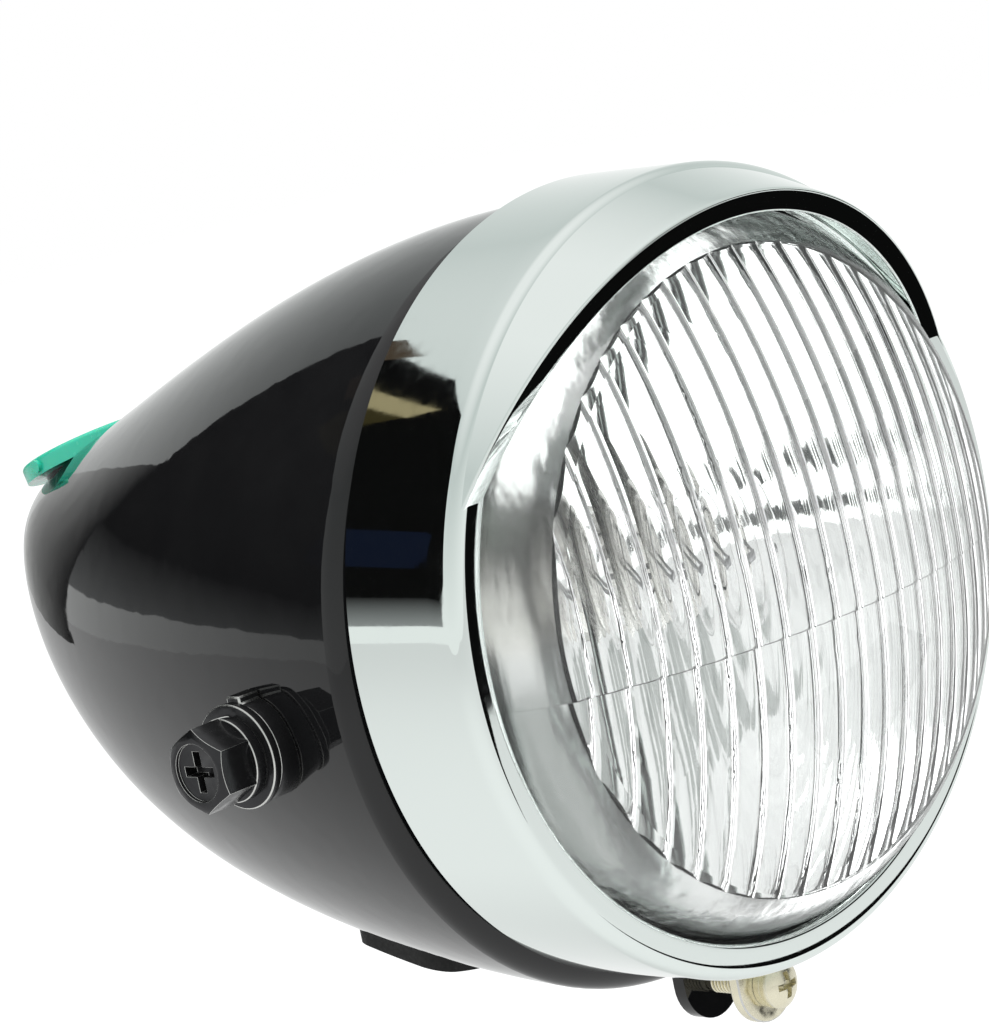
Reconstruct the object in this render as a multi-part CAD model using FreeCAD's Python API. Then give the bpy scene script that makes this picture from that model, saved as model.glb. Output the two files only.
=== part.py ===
# Moped headlight: a pressed steel shell, a chrome rim with a fluted glass, and two side pivot bolts.
# Millimetres. The beam leaves along -Y, +Z is up, and the origin is on the pivot axis, midway
# between the side bolts. Distances "ahead" are measured from the rim's rear edge along the beam.
import FreeCAD, Part
import math
import os

os.makedirs("parts", exist_ok=True)

# Places of the main axes
pivot_back = 26.0          # rim's rear edge to the pivot axis
pivot_drop = 11.0          # beam axis down to the pivot axis
shell_drop = 3.1           # beam axis down to the shell's own axis
fit_gap = 0.1              # clearance between pieces that locate each other

# Shell
shell_wall = 1.2
mouth_radius = 65.0        # outside of the shell's mouth and of the rim
curl_depth = 6.0           # length of the curled front edge, behind the rim
curl_roll = 4.2            # outside radius of that curl
spigot_length = 5.0        # how far the shell's collar reaches into the rim
spigot_clearance = 3.4     # between that collar and the rim's inside
tail_fillet = 4.0
# Sections after the mouth: distance on from the last one, share of the mouth's radius, rise of the centre
shell_sections = (
    (24.0, 0.96, 0.0),
    (30.0, 0.855, -0.8),
    (30.0, 0.689, -0.8),
    (22.0, 0.517, 1.9),
    (16.0, 0.354, 6.4),
    (10.0, 0.223, 10.4),
)

# Neck and cap at the top rear
neck_from_tail = 8.8       # tail's end to the middle of the cap's seat
neck_sink = 1.9            # that seat below the top of the skin
neck_tilt = 18.0           # degrees that the neck leans to the rear
neck_radius = 10.0
neck_bore = 8.8            # radius
neck_depth = 7.0
cap_radius = 13.6
cap_thick = 3.2
cap_crown = 0.6            # rise of the cap's domed top
cap_edge = 0.8             # rounding of the cap's rim
cap_skirt_depth = 5.0
cap_skirt_wall = 1.4
nib_radius = 1.2
nib_height = 0.7           # beyond the cap's side

# Rubber pieces under the shell
pad_start = 43.0           # behind the rim's edge
pad_length = 20.0
pad_width = 42.0
pad_corner = 4.0
pad_height = 4.2           # below the shell's skin
pad_neck = 9.0             # radius of the stem through the shell
pad_inner_radius = 12.0    # flange inside the shell
pad_inner_thick = 2.5
wire_bore = 4.0            # radius of the wire inlet
slot_start = 82.0          # behind the rim's edge
slot_length = 17.0
slot_width = 44.0
edging_width = 2.4
edging_height = 1.2
edging_lip = 1.3           # inside the shell

# Side pivot bolts
bolt_radius = 4.0          # M8
bolt_hole = 4.3            # radius in shell, collar and washers
head_flats = 12.0
head_height = 6.4
head_chamfer = 1.1         # off the corners of the head's face
recess_length = 6.6
recess_width = 1.6
recess_depth = 2.4
dish_radius = 4.7
dish_depth = 0.6
collar_radius = 8.2
collar_height = 5.0        # outside the shell, on the pivot axis
key_width = 3.0
key_height = 1.1
washer_radius = 8.5
washer_thick = 1.6
spring_radius = 6.8
spring_thick = 2.1
split_width = 1.2
pivot_nut_flats = 13.0
pivot_nut_height = 6.5

# Rim
rim_wall = 0.8
rim_straight = 21.0        # length of the plain band
lip_radius = 2.9           # outside radius of the rolled front lip
peak_span = 70.0           # degrees from the top to each end of the peak's edge
peak_reach = 13.6          # how far that edge stands ahead of its ends, at the top
peak_droop = 3.0           # how far it bends in there
peak_sink = 1.5            # how far the edge's ends lie behind the lip's crest
hook_width = 12.0
hook_length = 3.0
hook_ahead = 1.0

# Clamp under the rim
clamp_drop = 4.8           # rim's outside down to the screw's axis
lug_reach = 11.2           # rim's outside down to the lugs' ends
lug_width = 14.0
rim_lug_thick = 2.0
rim_lug_ahead = 9.5
shell_lug_thick = 2.4
shell_lug_behind = 0.4
screw_radius = 2.0         # M4
screw_head_radius = 4.0
screw_head_height = 3.1
screw_head_edge = 1.4      # straight part of the head's side
screw_recess_length = 4.4
screw_recess_width = 1.1
screw_recess_depth = 1.9
clamp_washer_radius = 3.8
clamp_washer_thick = 1.6

# Glass
glass_thick = 3.6
gasket_thick = 3.4         # rubber between the lip and the glass's flange
flange_thick = 4.0
flange_gap = 1.8           # flange's edge to the rim's inside
border_gap = 0.4           # glass to the lip's inner edge
border_land = 0.9          # straight start of the plain border
border_width = 7.8         # border's radial width
border_height = 15.6       # flange's front to the edge of the dome
dome_rise = 12.8           # edge of the dome to its apex
flute_pitch = 5.3
flute_depth = 0.9
flute_margin = 0.6         # edge of the dome to the fluted part of the inner face
step_drop = 7.0            # beam axis down to the horizontal step
step_depth = 0.8

# Reflector and bulb
seal_thick = 1.0
reflector_wall = 0.8
focal_length = 28.0
reflector_flange = 6.4     # width of the flat flange round the bowl
neck_reach = 8.0           # length of the reflector's neck
clip_count = 4
clip_angle = 14.0          # degrees of the rim that one clip covers
clip_leg = 5.0
clip_foot = 3.6
clip_thick = 0.8
holder_wall = 1.5
holder_flange = 16.0       # radius
holder_flange_thick = 1.2
base_radius = 10.0
base_behind = 4.5          # bulb base's end behind the holder's flange
base_ahead = 10.0          # bulb base's front ahead of the reflector's apex
bulb_radius = 11.5
bulb_neck = 7.0
bulb_wall = 0.8
bulb_length = 24.0
post_radius = 0.5
post_spread = 3.2
filament_radius = 0.8
cap_wall = 1.6
socket_depth = 10.0
contact_radius = 1.7
contact_spread = 4.0
blade_width = 6.3
blade_thick = 0.8
blade_length = 8.0

# Radii that follow from the mouth and from the bulb's base
rim_inside = mouth_radius - rim_wall
spigot_radius = rim_inside - spigot_clearance
flange_radius = rim_inside - flange_gap
border_radius = mouth_radius - 2 * lip_radius - border_gap
dome_edge_radius = border_radius - border_width
flute_zone = dome_edge_radius - flute_margin
bowl_radius = flange_radius - reflector_flange
holder_inside = base_radius + fit_gap
holder_outside = holder_inside + holder_wall
reflector_neck = holder_outside + fit_gap

# Places along the beam, ahead of the rim's rear edge
flange_front = rim_straight - gasket_thick
flange_rear = flange_front - flange_thick
dome_edge_ahead = flange_front + border_height
dome_apex_ahead = dome_edge_ahead + dome_rise
dome_radius = (dome_edge_radius ** 2 + dome_rise ** 2) / (2 * dome_rise)
dome_centre_ahead = dome_apex_ahead - dome_radius
peak_root = rim_straight + lip_radius - peak_sink
reflector_mouth = flange_rear - seal_thick
reflector_apex = reflector_mouth - bowl_radius ** 2 / (4 * focal_length)
holder_front = reflector_apex + reflector_neck ** 2 / (4 * focal_length)
holder_rear = holder_front - neck_reach - holder_flange_thick
base_end = holder_rear - base_behind
base_front = reflector_apex + base_ahead
socket_rear = holder_rear - socket_depth

rim_rear = -pivot_back
beam_z = pivot_drop
shell_z = beam_z - shell_drop
along_beam = FreeCAD.Vector(0, -1, 0)
rearward = FreeCAD.Vector(0, 1, 0)
upward = FreeCAD.Vector(0, 0, 1)


def ahead(distance):
    return rim_rear - distance


def behind(distance):
    return rim_rear + distance


def turned(axis_height, start, *steps):
    """Solid of revolution about a line along Y. A step is (radius, ahead), or a mid point and an end."""
    def point(place):
        return FreeCAD.Vector(0, ahead(place[1]), axis_height + place[0])

    edges = []
    last = point(start)
    for step in steps + (start,):
        if isinstance(step[0], tuple):
            middle, last_place = step
            edges.append(Part.Arc(last, point(middle), point(last_place)).toShape())
            last = point(last_place)
        else:
            edges.append(Part.makeLine(last, point(step)))
            last = point(step)
    face = Part.Face(Part.Wire(edges))
    return face.revolve(FreeCAD.Vector(0, 0, axis_height), rearward, 360)


def beam_point(distance):
    return FreeCAD.Vector(0, ahead(distance), beam_z)


def tangent_arc(start, end):
    """Middle and end of an arc that leaves a start point along the beam."""
    inward = start[0] - end[0]
    forward = end[1] - start[1]
    radius = (inward ** 2 + forward ** 2) / (2 * inward)
    half_angle = math.atan2(forward, radius - inward) / 2
    middle = (start[0] - radius + radius * math.cos(half_angle), start[1] + radius * math.sin(half_angle))
    return (middle, end)


def cap_arc(radius, shoulder, crown):
    """Middle and end of a shallow arc from a head's shoulder in to its crown."""
    rise = crown - shoulder
    sphere = (radius ** 2 + rise ** 2) / (2 * rise)
    middle = (radius / 2, crown - sphere + math.sqrt(sphere ** 2 - radius ** 2 / 4))
    return (middle, (0, crown))


def cylinder(radius, base, direction, length):
    return Part.makeCylinder(radius, length, base, direction)


def hex_prism(flats, base, direction, length):
    """Hexagonal prism with two corners up, along a horizontal direction."""
    side = direction.cross(upward)
    corner = flats / 2 / math.cos(math.pi / 6)
    points = []
    for turn in range(7):
        angle = turn * math.pi / 3
        points.append(base + upward * (corner * math.cos(angle)) + side * (corner * math.sin(angle)))
    return Part.Face(Part.makePolygon(points)).extrude(direction * length)


def centred_box(centre, along_x, along_y, along_z):
    corner = centre - FreeCAD.Vector(along_x / 2, along_y / 2, along_z / 2)
    return Part.makeBox(along_x, along_y, along_z, corner)


def rounded_prism(width, start, length, corner):
    """Prism from far below up to the shell's axis, over a rounded rectangle behind the rim's edge."""
    height = shell_z - under
    box = Part.makeBox(width, length, height, FreeCAD.Vector(-width / 2, behind(start), under))
    uprights = [edge for edge in box.Edges if abs(edge.BoundBox.ZLength - height) < 1e-6]
    return box.makeFillet(corner, uprights)


def cross_recess(face_centre, outward, length, width, depth):
    """Two crossed slots sunk into a screw's face."""
    side = outward.cross(upward)
    slots = []
    for first, second in ((upward, side), (side, upward)):
        corner = face_centre - first * (length / 2) - second * (width / 2) - outward * depth
        points = [corner, corner + first * length, corner + first * length + second * width]
        points += [corner + second * width, corner]
        slots.append(Part.Face(Part.makePolygon(points)).extrude(outward * depth * 2))
    return slots[0].fuse(slots[1])


def ring(outer, inner, base, direction, thick):
    return cylinder(outer, base, direction, thick).cut(cylinder(inner, base, direction, thick))


def split_ring(outer, inner, base, direction, thick):
    """Spring washer: a ring with a slanting split at its top."""
    side = direction.cross(upward)
    start = base + upward * (inner / 2) - side * (thick / 2 + split_width / 2)
    slant = direction * thick + side * thick
    points = [start, start + side * split_width, start + side * split_width + slant, start + slant, start]
    split = Part.Face(Part.makePolygon(points)).extrude(upward * outer)
    return ring(outer, inner, base, direction, thick).cut(split)


def shell_form(inset):
    """Closed tapering body of the shell, drawn in by a wall or out by a negative one."""
    wires = []
    place = curl_depth
    last = len(shell_sections)
    for number, (step, share, rise) in enumerate(((0, 1, 0),) + shell_sections):
        place += step - inset if number == last else step
        centre = FreeCAD.Vector(0, behind(place), shell_z + rise)
        wires.append(Part.Wire(Part.makeCircle(share * mouth_radius - inset, centre, rearward)))
    body = Part.makeLoft(wires, True, False)
    tail = max(body.Faces, key=lambda face: face.CenterOfMass.y)
    return body.makeFillet(tail_fillet, tail.Edges)


outer_form = shell_form(0.0)
inner_form = shell_form(shell_wall)
skin = outer_form.cut(inner_form)
tail_back = outer_form.BoundBox.YMax - rim_rear
under = shell_z - 2 * mouth_radius
# The shell's half-width on the pivot axis, which seats the collars and nuts
side_line = Part.makeLine(FreeCAD.Vector(0, 0, 0), FreeCAD.Vector(2 * mouth_radius, 0, 0))
side_x = side_line.common(outer_form).Length

# The neck's axis leans to the rear, and its seat is where the cap rests
tilt = math.radians(neck_tilt)
neck_axis = FreeCAD.Vector(0, math.sin(tilt), math.cos(tilt))
neck_line_start = FreeCAD.Vector(0, behind(tail_back - neck_from_tail), shell_z)
neck_line = Part.makeLine(neck_line_start, neck_line_start + upward * mouth_radius)
neck_seat = neck_line_start + upward * (neck_line.common(outer_form).Length - neck_sink)
neck_foot = neck_seat - neck_axis * neck_depth
# The wire's stem stands in the middle of the pad
stem_base = FreeCAD.Vector(0, behind(pad_start + pad_length / 2), under)

# The clamp screw's axis and the middle of the lugs' round ends, below the rim
clamp_z = beam_z - mouth_radius - clamp_drop
lug_round_z = beam_z - mouth_radius - lug_reach + lug_width / 2


def shell_edge():
    """Curled front edge, the plate it turns into, and the collar on the beam's axis that enters the rim."""
    front_radius = mouth_radius - curl_roll
    inner_roll = curl_roll - shell_wall
    diagonal = math.sqrt(0.5)
    spigot_inside = spigot_radius - shell_wall
    curl = turned(
        shell_z,
        (mouth_radius, -curl_depth),
        ((front_radius + curl_roll * diagonal, -curl_depth + curl_roll * diagonal),
         (front_radius, -curl_depth + curl_roll)),
        (0, -curl_depth + curl_roll),
        (0, -curl_depth + inner_roll),
        (front_radius, -curl_depth + inner_roll),
        ((front_radius + inner_roll * diagonal, -curl_depth + inner_roll * diagonal),
         (mouth_radius - shell_wall, -curl_depth)),
    )
    spigot_end = FreeCAD.Vector(0, ahead(spigot_length), beam_z)
    reach = spigot_length + curl_depth - inner_roll + shell_wall
    collar = cylinder(spigot_radius, spigot_end, rearward, reach)
    return curl.fuse(collar).cut(cylinder(spigot_inside, spigot_end, rearward, reach))


def shell():
    """Pressed bowl with its edge, neck, tapped bottom lug, cable slot and holes."""
    body = skin.fuse(shell_edge()).fuse(cylinder(neck_radius, neck_foot, neck_axis, neck_depth))
    body = body.cut(cylinder(neck_bore, neck_foot, neck_axis, 2 * neck_depth))
    body = body.cut(cylinder(cap_radius + fit_gap, neck_seat, neck_axis, neck_depth))
    lug_top = shell_z - mouth_radius + curl_roll
    lug_round = FreeCAD.Vector(0, behind(shell_lug_behind), lug_round_z)
    lug_corner = lug_round - FreeCAD.Vector(lug_width / 2, 0, 0)
    body = body.fuse(cylinder(lug_width / 2, lug_round, rearward, shell_lug_thick))
    body = body.fuse(Part.makeBox(lug_width, shell_lug_thick, lug_top - lug_round_z, lug_corner))
    tapping = FreeCAD.Vector(0, behind(shell_lug_behind), clamp_z)
    body = body.cut(cylinder(screw_radius + fit_gap, tapping, rearward, shell_lug_thick))
    pivot_line = FreeCAD.Vector(-2 * mouth_radius, 0, 0)
    body = body.cut(cylinder(bolt_hole, pivot_line, FreeCAD.Vector(1, 0, 0), 4 * mouth_radius))
    body = body.cut(slot_prism(0))
    return body.cut(cylinder(pad_neck + fit_gap, stem_base, upward, shell_z - under)).removeSplitter()


def slot_prism(margin):
    """Upright prism over the cable slot's outline, wider all round by a margin."""
    length = slot_length + 2 * margin
    return rounded_prism(slot_width + 2 * margin, slot_start - margin, length, length / 2 - fit_gap)


def wire_grommet():
    """Rubber pad that follows the shell's underside, with a stem, an inner flange and the wire's bore."""
    depth = shell_z - under
    pad = rounded_prism(pad_width, pad_start, pad_length, pad_corner)
    pad = pad.common(shell_form(-pad_height)).cut(outer_form)
    stem = cylinder(pad_neck, stem_base, upward, depth).common(skin)
    flange = cylinder(pad_inner_radius, stem_base, upward, depth)
    flange = flange.common(inner_form).cut(shell_form(shell_wall + pad_inner_thick))
    bore = cylinder(wire_bore, stem_base, upward, depth)
    return pad.fuse(stem).fuse(flange).cut(bore).removeSplitter()


def cable_slot_edging():
    """Rubber strip pushed over the edge of the cable slot, proud of the skin and lapping its inside."""
    around = slot_prism(edging_width)
    outside = around.common(shell_form(-edging_height)).cut(outer_form)
    through = slot_prism(0).common(skin)
    inside = around.common(inner_form).cut(shell_form(shell_wall + edging_lip))
    return outside.fuse(through).fuse(inside).cut(slot_prism(-edging_lip)).removeSplitter()


def aperture_cap():
    """Snap-in cap with a domed top, a skirt in the neck's bore and a nib on each side to pull it by."""
    disc = cylinder(cap_radius, neck_seat, neck_axis, cap_thick)
    circles = [edge for edge in disc.Edges if isinstance(edge.Curve, Part.Circle)]
    disc = disc.makeFillet(cap_edge, [max(circles, key=lambda edge: edge.CenterOfMass.z)])
    crown_radius = ((cap_radius - cap_edge) ** 2 + cap_crown ** 2) / (2 * cap_crown)
    crown_centre = neck_seat + neck_axis * (cap_thick + cap_crown - crown_radius)
    crown_base = neck_seat + neck_axis * (cap_thick - cap_edge)
    crown = Part.makeSphere(crown_radius, crown_centre)
    crown = crown.common(cylinder(cap_radius - cap_edge, crown_base, neck_axis, cap_thick))
    skirt_base = neck_seat - neck_axis * cap_skirt_depth
    skirt_outside = neck_bore - fit_gap
    skirt = ring(skirt_outside, skirt_outside - cap_skirt_wall, skirt_base, neck_axis, cap_skirt_depth)
    nib_length = 2 * (cap_radius + nib_height)
    nib_start = neck_seat + neck_axis * (cap_thick / 2) - FreeCAD.Vector(nib_length / 2, 0, 0)
    nibs = cylinder(nib_radius, nib_start, FreeCAD.Vector(1, 0, 0), nib_length)
    return disc.fuse(crown).fuse(skirt).fuse(nibs).removeSplitter()


def pivot_collar(side):
    """Spacer that seats on the shell's curved side, with a locating key on top."""
    outward = FreeCAD.Vector(side, 0, 0)
    start = outward * (side_x - 2 * collar_height)
    length = 3 * collar_height
    body = cylinder(collar_radius, start, outward, length)
    key_centre = outward * (side_x + collar_height / 2) + upward * collar_radius
    body = body.fuse(centred_box(key_centre, collar_height, key_width, 2 * key_height))
    return body.cut(outer_form).cut(cylinder(bolt_hole, start, outward, length)).removeSplitter()


def plain_washer(side):
    outward = FreeCAD.Vector(side, 0, 0)
    return ring(washer_radius, bolt_hole, outward * (side_x + collar_height), outward, washer_thick)


def spring_washer(side):
    outward = FreeCAD.Vector(side, 0, 0)
    base = outward * (side_x + collar_height + washer_thick)
    return split_ring(spring_radius, bolt_hole, base, outward, spring_thick)


def pivot_bolt(side):
    """M8 bolt with a small hexagon head, dished and cross-recessed."""
    outward = FreeCAD.Vector(side, 0, 0)
    seat = outward * (side_x + collar_height + washer_thick + spring_thick)
    head = hex_prism(head_flats, seat, outward, head_height)
    face_radius = head_flats / 2 / math.cos(math.pi / 6) - head_chamfer
    taper = face_radius + head_height * math.tan(math.radians(60))
    chamfer = Part.makeCone(taper, face_radius, head_height, seat, outward)
    head = head.common(chamfer)
    face_centre = seat + outward * head_height
    head = head.cut(cylinder(dish_radius, face_centre - outward * dish_depth, outward, dish_depth))
    floor = face_centre - outward * dish_depth
    head = head.cut(cross_recess(floor, outward, recess_length, recess_width, recess_depth))
    shank_end = side_x - shell_wall - pivot_nut_height
    shank_length = side_x + collar_height + washer_thick + spring_thick - shank_end
    return head.fuse(cylinder(bolt_radius, outward * shank_end, outward, shank_length)).removeSplitter()


def pivot_nut(side):
    """Weld nut whose outer face follows the inside of the shell."""
    outward = FreeCAD.Vector(side, 0, 0)
    start = outward * (side_x - shell_wall - pivot_nut_height)
    length = pivot_nut_height + 2 * shell_wall
    nut = hex_prism(pivot_nut_flats, start, outward, length).common(inner_form)
    return nut.cut(cylinder(bolt_radius + fit_gap, start, outward, length))


def rim_peak():
    """Small visor over the glass: part of a cone ahead of the band, cut along a leaning plane."""
    foot_radius = mouth_radius - lip_radius
    edge_height = foot_radius - peak_droop
    foot_height = foot_radius * math.cos(math.radians(peak_span))
    edge_ahead = peak_root + peak_reach
    root_ahead = rim_straight - rim_wall / 2
    root_radius = mouth_radius - rim_wall / 8
    taper = (root_radius - rim_wall / 2 - edge_height) / (edge_ahead - root_ahead)
    cone_end = edge_ahead + peak_reach
    end_radius = root_radius - taper * (cone_end - root_ahead)
    sheet = rim_wall * 3 / 4
    cone = turned(
        beam_z,
        (root_radius, root_ahead),
        (end_radius, cone_end),
        (end_radius - sheet, cone_end),
        (root_radius - sheet, root_ahead),
    )
    lean = peak_reach / (edge_height - foot_height)
    low_ahead = root_ahead - peak_reach
    corners = [
        (low_ahead, foot_height - (peak_root - low_ahead) / lean),
        (cone_end, edge_height + peak_reach / lean),
        (low_ahead, edge_height + peak_reach / lean),
    ]
    side = FreeCAD.Vector(-mouth_radius, 0, 0)
    points = [beam_point(reach) + upward * height + side for reach, height in corners]
    kept = Part.Face(Part.makePolygon(points + points[:1])).extrude(side * -2)
    return cone.common(kept)


def chrome_rim():
    """Band with a rolled front lip, a peak over the glass, and a hook tongue for the shell's spigot."""
    lip_centre = mouth_radius - lip_radius
    lip_inside = lip_radius - rim_wall
    band = turned(
        beam_z,
        (mouth_radius, 0),
        (mouth_radius, rim_straight),
        ((lip_centre, rim_straight + lip_radius), (lip_centre - lip_radius, rim_straight)),
        (lip_centre - lip_inside, rim_straight),
        ((lip_centre, rim_straight + lip_inside), (rim_inside, rim_straight)),
        (rim_inside, 0),
    )
    hook_foot = beam_z + spigot_radius + fit_gap
    hook_end = FreeCAD.Vector(-hook_width / 2, ahead(hook_ahead + hook_length), hook_foot)
    hook = Part.makeBox(hook_width, hook_length, beam_z + mouth_radius - hook_foot, hook_end)
    band_middle = rim_inside + rim_wall / 2
    hook = hook.common(cylinder(band_middle, beam_point(rim_straight), rearward, rim_straight))
    return band.fuse(hook).fuse(rim_peak()).removeSplitter()


def rim_lug():
    """Zinc lug that hangs under the band, drilled for the clamp screw."""
    base = FreeCAD.Vector(0, ahead(rim_lug_ahead), lug_round_z)
    lug = cylinder(lug_width / 2, base, along_beam, rim_lug_thick)
    corner = base - FreeCAD.Vector(lug_width / 2, rim_lug_thick, 0)
    lug = lug.fuse(Part.makeBox(lug_width, rim_lug_thick, lug_reach, corner))
    lug = lug.cut(cylinder(mouth_radius, beam_point(rim_straight), rearward, rim_straight))
    hole = FreeCAD.Vector(0, ahead(rim_lug_ahead), clamp_z)
    return lug.cut(cylinder(screw_radius + fit_gap, hole, along_beam, rim_lug_thick)).removeSplitter()


def clamp_spring_washer():
    base = FreeCAD.Vector(0, ahead(rim_lug_ahead + rim_lug_thick), clamp_z)
    return split_ring(clamp_washer_radius, screw_radius + fit_gap, base, along_beam, clamp_washer_thick)


def clamp_screw():
    """Pan-head screw with a cross recess, through the rim's lug into the shell's."""
    seat_ahead = rim_lug_ahead + rim_lug_thick + clamp_washer_thick
    screw_end = -(shell_lug_behind + shell_lug_thick)
    crown = seat_ahead + screw_head_height
    shoulder = seat_ahead + screw_head_edge
    screw = turned(
        clamp_z,
        (0, screw_end),
        (screw_radius, screw_end),
        (screw_radius, seat_ahead),
        (screw_head_radius, seat_ahead),
        (screw_head_radius, shoulder),
        cap_arc(screw_head_radius, shoulder, crown),
    )
    face_centre = FreeCAD.Vector(0, ahead(crown), clamp_z)
    return screw.cut(cross_recess(
        face_centre, along_beam, screw_recess_length, screw_recess_width, screw_recess_depth))


def dome_arc(sphere_radius, edge_radius):
    """Middle and end of the dome's curve, from an edge in to the beam's axis."""
    half = edge_radius / 2
    middle = (half, dome_centre_ahead + math.sqrt(sphere_radius ** 2 - half ** 2))
    return (middle, (0, dome_centre_ahead + sphere_radius))


def fluted_cavity(thick):
    """Space behind the dome for one glass thickness, with a row of upright grooves in its face."""
    radius = dome_radius - thick
    inside_edge = border_radius - glass_thick
    land = (inside_edge, flange_front)
    zone_edge = (flute_zone, dome_centre_ahead + math.sqrt(radius ** 2 - flute_zone ** 2))
    cavity = turned(
        beam_z,
        (0, flange_rear),
        (inside_edge, flange_rear),
        land,
        tangent_arc(land, zone_edge),
        dome_arc(radius, flute_zone),
    )
    zone = cylinder(flute_zone, beam_point(dome_apex_ahead), rearward, dome_apex_ahead - flange_rear)
    groove_radius = (flute_pitch ** 2 / 4 + flute_depth ** 2) / (2 * flute_depth)
    core = radius + flute_depth - groove_radius
    count = int(flute_zone / flute_pitch)
    for turn in range(-count, count + 1):
        across = turn * flute_pitch
        centre = FreeCAD.Vector(across, ahead(dome_centre_ahead), beam_z)
        sweep_radius = math.sqrt(core ** 2 - across ** 2)
        groove = Part.makeTorus(sweep_radius, groove_radius, centre, FreeCAD.Vector(1, 0, 0))
        cavity = cavity.fuse(groove.common(zone))
    return cavity


def lens():
    """Moulded glass: flange, bulging plain border and dome, fluted inside, with a step below the beam."""
    land = (border_radius, flange_front + border_land)
    glass = turned(
        beam_z,
        (0, flange_rear),
        (flange_radius, flange_rear),
        (flange_radius, flange_front),
        (border_radius, flange_front),
        land,
        tangent_arc(land, (dome_edge_radius, dome_edge_ahead)),
        dome_arc(dome_radius, dome_edge_radius),
    )
    size = 4 * flange_radius
    step_z = beam_z - step_drop
    upper = centred_box(FreeCAD.Vector(0, ahead(dome_edge_ahead), step_z + size / 2), size, size, size)
    above = fluted_cavity(glass_thick).common(upper)
    below = fluted_cavity(glass_thick + step_depth).cut(upper)
    return glass.cut(above).cut(below)


def lens_gasket():
    inside = border_radius + fit_gap
    return ring(rim_inside - fit_gap, inside, beam_point(flange_front), along_beam, gasket_thick)


def lens_seal():
    return ring(flange_radius, bowl_radius + reflector_wall, beam_point(flange_rear), rearward, seal_thick)


def on_bowl(radius):
    return reflector_apex + radius ** 2 / (4 * focal_length)


def bowl_edge(inner_radius, outer_radius, offset):
    """Middle and outer points of the bowl's curve between two radii, set back by a wall."""
    middle = (inner_radius + outer_radius) / 2
    end = (outer_radius + offset, on_bowl(outer_radius) - offset)
    return ((middle + offset, on_bowl(middle) - offset), end)


def reflector():
    """Parabolic bowl with a flat flange at its mouth and a neck for the bulb holder."""
    neck_front = on_bowl(reflector_neck)
    neck_outside = reflector_neck + reflector_wall
    rear = neck_front - neck_reach
    half = (reflector_neck + bowl_radius) / 2
    return turned(
        beam_z,
        (reflector_neck, neck_front),
        bowl_edge(reflector_neck, half, 0),
        bowl_edge(half, bowl_radius, 0),
        (flange_radius, reflector_mouth),
        (flange_radius, reflector_mouth - reflector_wall),
        (bowl_radius + reflector_wall, reflector_mouth - reflector_wall),
        bowl_edge(bowl_radius, half, reflector_wall),
        bowl_edge(half, reflector_neck, reflector_wall),
        (neck_outside, rear),
        (reflector_neck, rear),
    )


def reflector_clips():
    """Spring clips between the rim's wall and the back of the reflector's flange."""
    wall = rim_inside - fit_gap
    seat = reflector_mouth - reflector_wall
    profile = (
        (wall, seat), (wall - clip_foot, seat), (wall - clip_foot, seat - clip_thick),
        (wall - clip_thick, seat - clip_thick), (wall - clip_thick, seat - clip_leg), (wall, seat - clip_leg),
    )
    clips = []
    for turn in range(clip_count):
        points = [FreeCAD.Vector(0, ahead(place), beam_z + radius) for radius, place in profile]
        face = Part.Face(Part.makePolygon(points + points[:1]))
        face.rotate(FreeCAD.Vector(0, 0, beam_z), rearward, 360 / clip_count * (turn + 0.5) - clip_angle / 2)
        clips.append(face.revolve(FreeCAD.Vector(0, 0, beam_z), rearward, clip_angle))
    return Part.makeCompound(clips)


def bulb_holder():
    """Sleeve in the reflector's neck, with a flange against the neck's rear end."""
    return turned(
        beam_z,
        (holder_inside, holder_front),
        (holder_outside, holder_front),
        (holder_outside, holder_rear + holder_flange_thick),
        (holder_flange, holder_rear + holder_flange_thick),
        (holder_flange, holder_rear),
        (holder_inside, holder_rear),
    )


def bulb_base():
    """Metal cap of the bulb, up to the neck of its glass."""
    return cylinder(base_radius, beam_point(base_end), along_beam, base_front - base_end)


def bulb_glass():
    """Thin round envelope on a neck that stands on the base."""
    front = base_front + bulb_length
    middle = front - bulb_radius
    shoulder = middle - math.sqrt(bulb_radius ** 2 - bulb_neck ** 2)
    inner = bulb_radius - bulb_wall
    inner_neck = bulb_neck - bulb_wall
    inner_shoulder = middle - math.sqrt(inner ** 2 - inner_neck ** 2)
    return turned(
        beam_z,
        (bulb_neck, base_front),
        (bulb_neck, shoulder),
        ((bulb_radius, middle), (0, front)),
        (0, front - bulb_wall),
        ((inner, middle), (inner_neck, inner_shoulder)),
        (inner_neck, base_front),
    )


def bulb_filament():
    """Two posts on the base and the coil between them, at the reflector's focus."""
    focus = reflector_apex + focal_length
    length = focus - base_front
    posts = []
    for side in (-1, 1):
        foot = FreeCAD.Vector(side * post_spread, ahead(base_front), beam_z)
        posts.append(cylinder(post_radius, foot, along_beam, length))
    start = FreeCAD.Vector(-post_spread, ahead(focus), beam_z)
    coil = cylinder(filament_radius, start, FreeCAD.Vector(1, 0, 0), 2 * post_spread)
    return posts[0].fuse(posts[1]).fuse(coil).removeSplitter()


def socket_cap():
    """Insulating cup that closes the holder's rear, with slots for the two blades."""
    inside = holder_flange - cap_wall
    cup = turned(
        beam_z,
        (0, socket_rear),
        (holder_flange, socket_rear),
        (holder_flange, holder_rear),
        (inside, holder_rear),
        (inside, socket_rear + cap_wall),
        (0, socket_rear + cap_wall),
    )
    for side in (-1, 1):
        centre = FreeCAD.Vector(side * contact_spread, ahead(socket_rear + cap_wall / 2), beam_z)
        slot_thick = blade_thick + 2 * fit_gap
        cup = cup.cut(centred_box(centre, slot_thick, 2 * cap_wall, blade_width + 2 * fit_gap))
    return cup


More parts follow.
